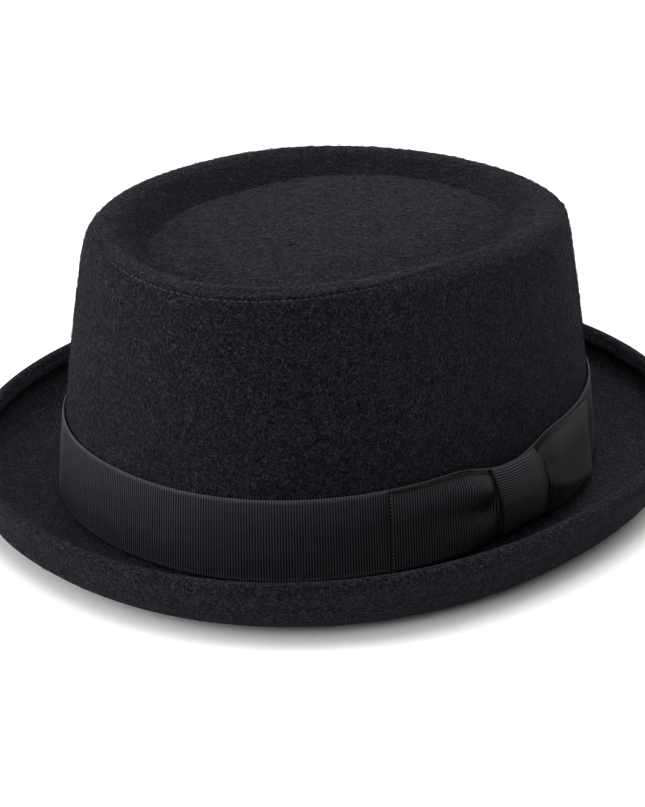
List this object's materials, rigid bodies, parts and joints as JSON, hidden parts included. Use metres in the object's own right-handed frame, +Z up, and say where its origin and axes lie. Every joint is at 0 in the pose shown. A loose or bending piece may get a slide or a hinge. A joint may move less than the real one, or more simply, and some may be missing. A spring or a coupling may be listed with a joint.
{
  "type": "porkpie hat",
  "caption": "Felt porkpie hat: low tapering crown with a stitched ridge round a domed tip, curled brim with a turned hem, ribbed ribbon band and flat side bow.",
  "frame": {"origin": "on the surface the hat rests on, below the middle of the brim", "axes": "+Z up, -Y the front of the hat, +X the wearer's left, where the bow is"},
  "size_m": [0.2392, 0.2682, 0.104],
  "materials": {
    "felt": "matt wool felt with a short nap",
    "ribbon": "ribbed ribbon with a soft sheen"
  },
  "bodies": {
    "root": {"felt_body": "felt", "hat_band": "ribbon", "bow_ribbon": "ribbon", "bow_knot": "ribbon"}
  },
  "joints": []
}
